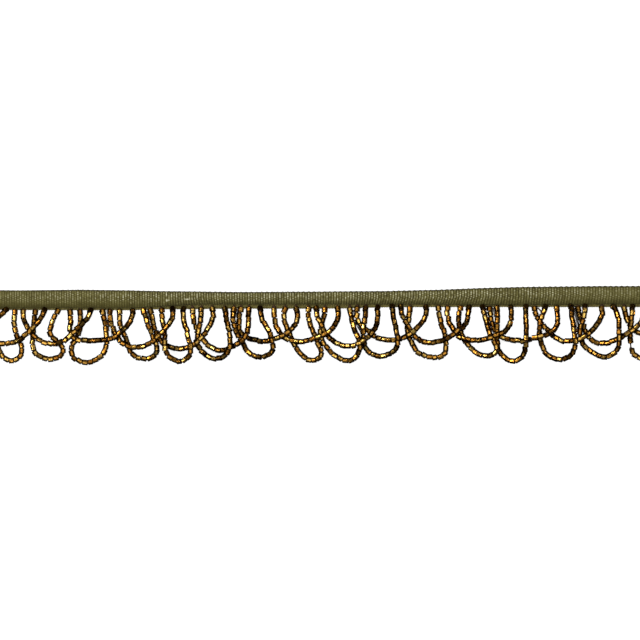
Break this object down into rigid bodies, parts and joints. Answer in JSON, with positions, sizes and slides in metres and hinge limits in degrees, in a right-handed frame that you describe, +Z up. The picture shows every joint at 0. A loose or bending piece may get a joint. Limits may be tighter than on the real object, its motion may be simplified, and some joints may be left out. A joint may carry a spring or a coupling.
{
  "type": "beaded fringe",
  "caption": "Ribbed ribbon heading with a thread header and overlapping long and wide loops of strung bugle beads.",
  "frame": {"origin": "on the flat back of the ribbon heading, halfway along the length, on the surface that the trim lies on", "axes": "+X along the heading, +Y from the loops towards the heading, +Z up from the back towards the face"},
  "size_m": [0.3048, 0.035, 0.0093],
  "materials": {
    "ribbon": "ribbed olive green ribbon, slightly lustrous",
    "beads": "hex-cut bugle beads with a bronze metallic coating"
  },
  "bodies": {
    "root": {"heading_tape": "ribbon", "bead_fringe": "beads"}
  },
  "joints": []
}
